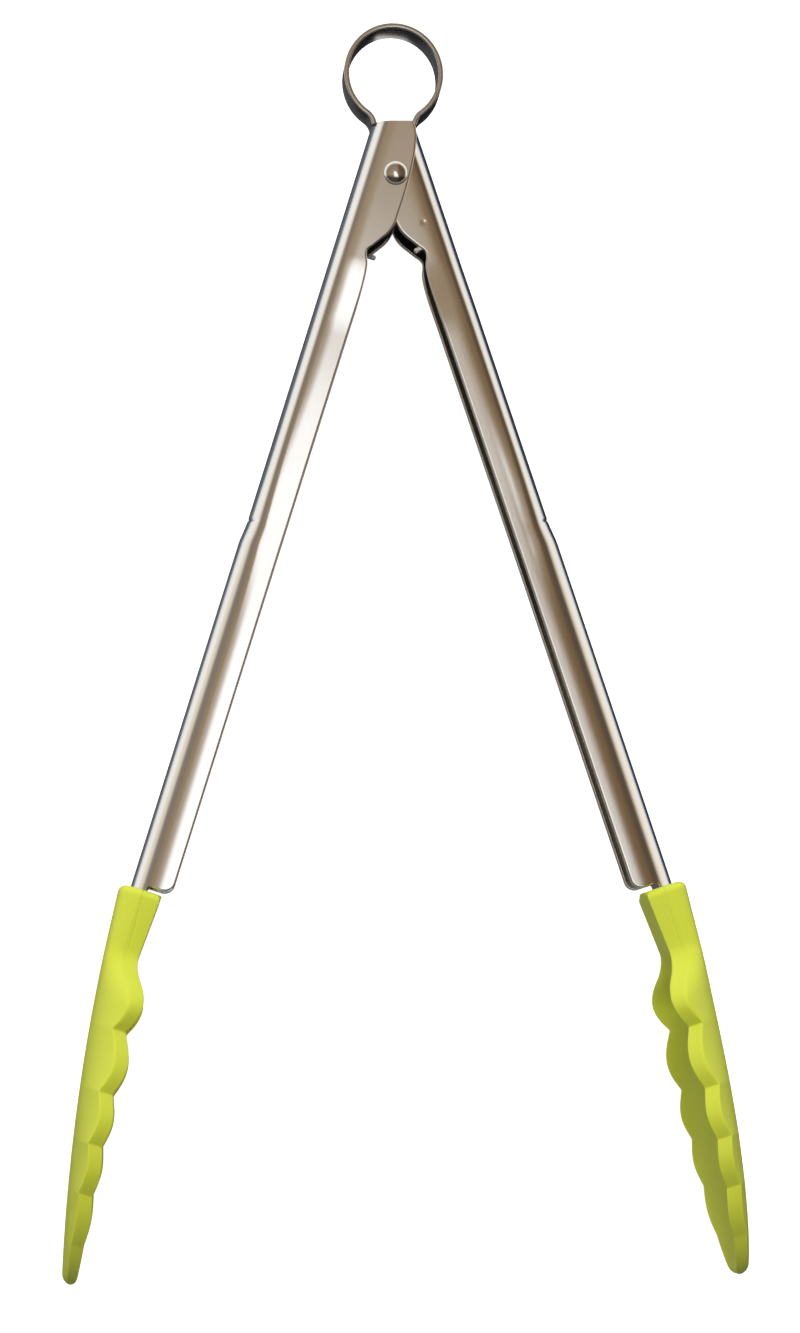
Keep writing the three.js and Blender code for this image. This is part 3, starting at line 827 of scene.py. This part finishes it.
table = bpy.data.meshes.new("table_top")
table_corners = [(x * FLOOR_HALF, y * FLOOR_HALF, 0)
                 for x, y in ((-1, -1), (1, -1), (1, 1), (-1, 1))]
table.from_pydata(table_corners, [], [(0, 1, 2, 3)])
table_white, tree, shader = new_surface("table_white")
shader.inputs["Base Color"].default_value = (0.5, 0.5, 0.5, 1)
shader.inputs["Roughness"].default_value = 0.9
shader.inputs["Specular IOR Level"].default_value = 0.0
shader.inputs["Emission Color"].default_value = (1, 1, 1, 1)
ray = tree.nodes.new("ShaderNodeLightPath")
glow = tree.nodes.new("ShaderNodeMapRange")
glow.inputs["To Min"].default_value = 0.25
glow.inputs["To Max"].default_value = 0.93
tree.links.new(ray.outputs["Is Camera Ray"], glow.inputs["Value"])
tree.links.new(glow.outputs["Result"], shader.inputs["Emission Strength"])
table.materials.append(table_white)
floor = bpy.data.objects.new("table_top", table)
bpy.context.scene.collection.objects.link(floor)
floor.visible_glossy = False

studio = bpy.data.worlds.new("studio")
bpy.context.scene.world = studio
studio.use_nodes = True
tree = studio.node_tree
backdrop = tree.nodes["Background"]
where = tree.nodes.new("ShaderNodeTexCoord")
parts = tree.nodes.new("ShaderNodeSeparateXYZ")
lean = tree.nodes.new("ShaderNodeMath")
lean.operation = "ARCCOSINE"
share = tree.nodes.new("ShaderNodeMath")
share.operation = "DIVIDE"
share.inputs[1].default_value = math.pi
walls = tree.nodes.new("ShaderNodeValToRGB")
stops = (
    (0.0, (0.34, 0.25, 0.155)),
    (24.0, (0.33, 0.24, 0.15)),
    (36.0, (0.25, 0.205, 0.165)),
    (54.0, (0.25, 0.21, 0.175)),
    (68.0, (0.84, 0.77, 0.64)),
    (80.0, (1.02, 0.99, 0.93)),
    (102.0, (0.9, 0.92, 0.95)),
    (116.0, (0.17, 0.18, 0.21)),
    (150.0, (0.08, 0.08, 0.09)),
    (180.0, (0.07, 0.07, 0.08)),
)
ramp = walls.color_ramp
ramp.elements[0].position, ramp.elements[0].color = 0.0, (*stops[0][1], 1)
ramp.elements[1].position, ramp.elements[1].color = 1.0, (*stops[-1][1], 1)
for angle, colour in stops[1:-1]:
    ramp.elements.new(angle / 180).color = (*colour, 1)


def reckon(operation, a, b):
    """The socket of a new math node; a and b are numbers or sockets."""
    step = tree.nodes.new("ShaderNodeMath")
    step.operation = operation
    for socket, value in zip(step.inputs, (a, b)):
        if isinstance(value, float):
            socket.default_value = value
        else:
            tree.links.new(value, socket)
    return step.outputs[0]


def ranged(value, low, high, at_low, at_high):
    """The socket of a soft step from at_low to at_high."""
    step = tree.nodes.new("ShaderNodeMapRange")
    step.interpolation_type = "SMOOTHSTEP"
    for socket_name, number in (("From Min", low), ("From Max", high), ("To Min", at_low),
                                ("To Max", at_high)):
        step.inputs[socket_name].default_value = number
    tree.links.new(value, step.inputs["Value"])
    return step.outputs["Result"]


link = tree.links.new
link(where.outputs["Generated"], parts.inputs["Vector"])
x, y, z = (parts.outputs[axis] for axis in "XYZ")
link(z, lean.inputs[0])
link(lean.outputs[0], share.inputs[0])
link(share.outputs[0], walls.inputs["Fac"])
deeper = tree.nodes.new("ShaderNodeGamma")
link(walls.outputs["Color"], deeper.inputs["Color"])
link(ranged(x, 0.12, 0.32, 1.0, 1.6), deeper.inputs["Gamma"])
slant = reckon("ADD", reckon("MULTIPLY", x, PANEL_LEAN), y)
beyond_right = reckon("MULTIPLY", reckon("SUBTRACT", slant, PANEL_RIGHT), RIGHT_SOFTNESS)
beyond_left = reckon("MULTIPLY", reckon("SUBTRACT", PANEL_LEFT, x), LEFT_SOFTNESS)
beyond_front = reckon("SUBTRACT", PANEL_FRONT, y)
beyond_rear = reckon("SUBTRACT", y, PANEL_REAR)
beyond_sides = reckon("MAXIMUM", beyond_right, beyond_left)
beyond = reckon("MAXIMUM", beyond_sides, reckon("MAXIMUM", beyond_front, beyond_rear))
panel_light = tree.nodes.new("ShaderNodeCombineColor")
for channel in ("Red", "Green", "Blue"):
    link(ranged(z, -1.0, 1.0, 1.2, 1.35), panel_light.inputs[channel])
room_light = tree.nodes.new("ShaderNodeMix")
room_light.data_type = "RGBA"
room_colours = [socket for socket in room_light.inputs if socket.type == "RGBA"]
link(ranged(beyond, -0.012, 0.022, 0.0, 1.0), room_light.inputs["Factor"])
link(panel_light.outputs["Color"], room_colours[0])
link(deeper.outputs["Color"], room_colours[1])
neutral = tree.nodes.new("ShaderNodeHueSaturation")
mixed = next(socket for socket in room_light.outputs if socket.type == "RGBA")
link(mixed, neutral.inputs["Color"])
link(neutral.outputs["Color"], backdrop.inputs["Color"])
ray = tree.nodes.new("ShaderNodeLightPath")
link(ranged(ray.outputs["Is Diffuse Ray"], 0.0, 1.0, 1.0, 0.0), neutral.inputs["Saturation"])
dimmed = ranged(ray.outputs["Is Diffuse Ray"], 0.0, 1.0, 1.0, 0.5)
link(reckon("MULTIPLY", dimmed, ranged(y, -0.3, 0.05, 0.22, 1.0)), backdrop.inputs["Strength"])

for lamp_name, place, size, power in (
    ("key", (0.0, 0.65, 1.05), 0.6, 15.5),
    ("fill", (-0.5, 0.1, 1.1), 0.8, 3.5),
):
    lamp = bpy.data.lights.new(lamp_name, "AREA")
    lamp.shape = "DISK"
    lamp.size = size
    lamp.energy = power
    stand = bpy.data.objects.new(lamp_name, lamp)
    stand.location = place
    stand.rotation_euler = (-Vector(place)).to_track_quat("-Z", "Y").to_euler()
    stand.visible_glossy = False
    bpy.context.scene.collection.objects.link(stand)

lens = bpy.data.cameras.new("camera")
lens.lens = 91.74
lens.sensor_width = 36
camera = bpy.data.objects.new("camera", lens)
camera.location = PIVOT + Vector((-0.06199, -0.22233, 0.780))
camera.rotation_euler = Euler([math.radians(a) for a in (7.77, -4.453, -0.703)])
bpy.context.scene.collection.objects.link(camera)
bpy.context.scene.camera = camera
bpy.context.scene.view_settings.view_transform = "Standard"
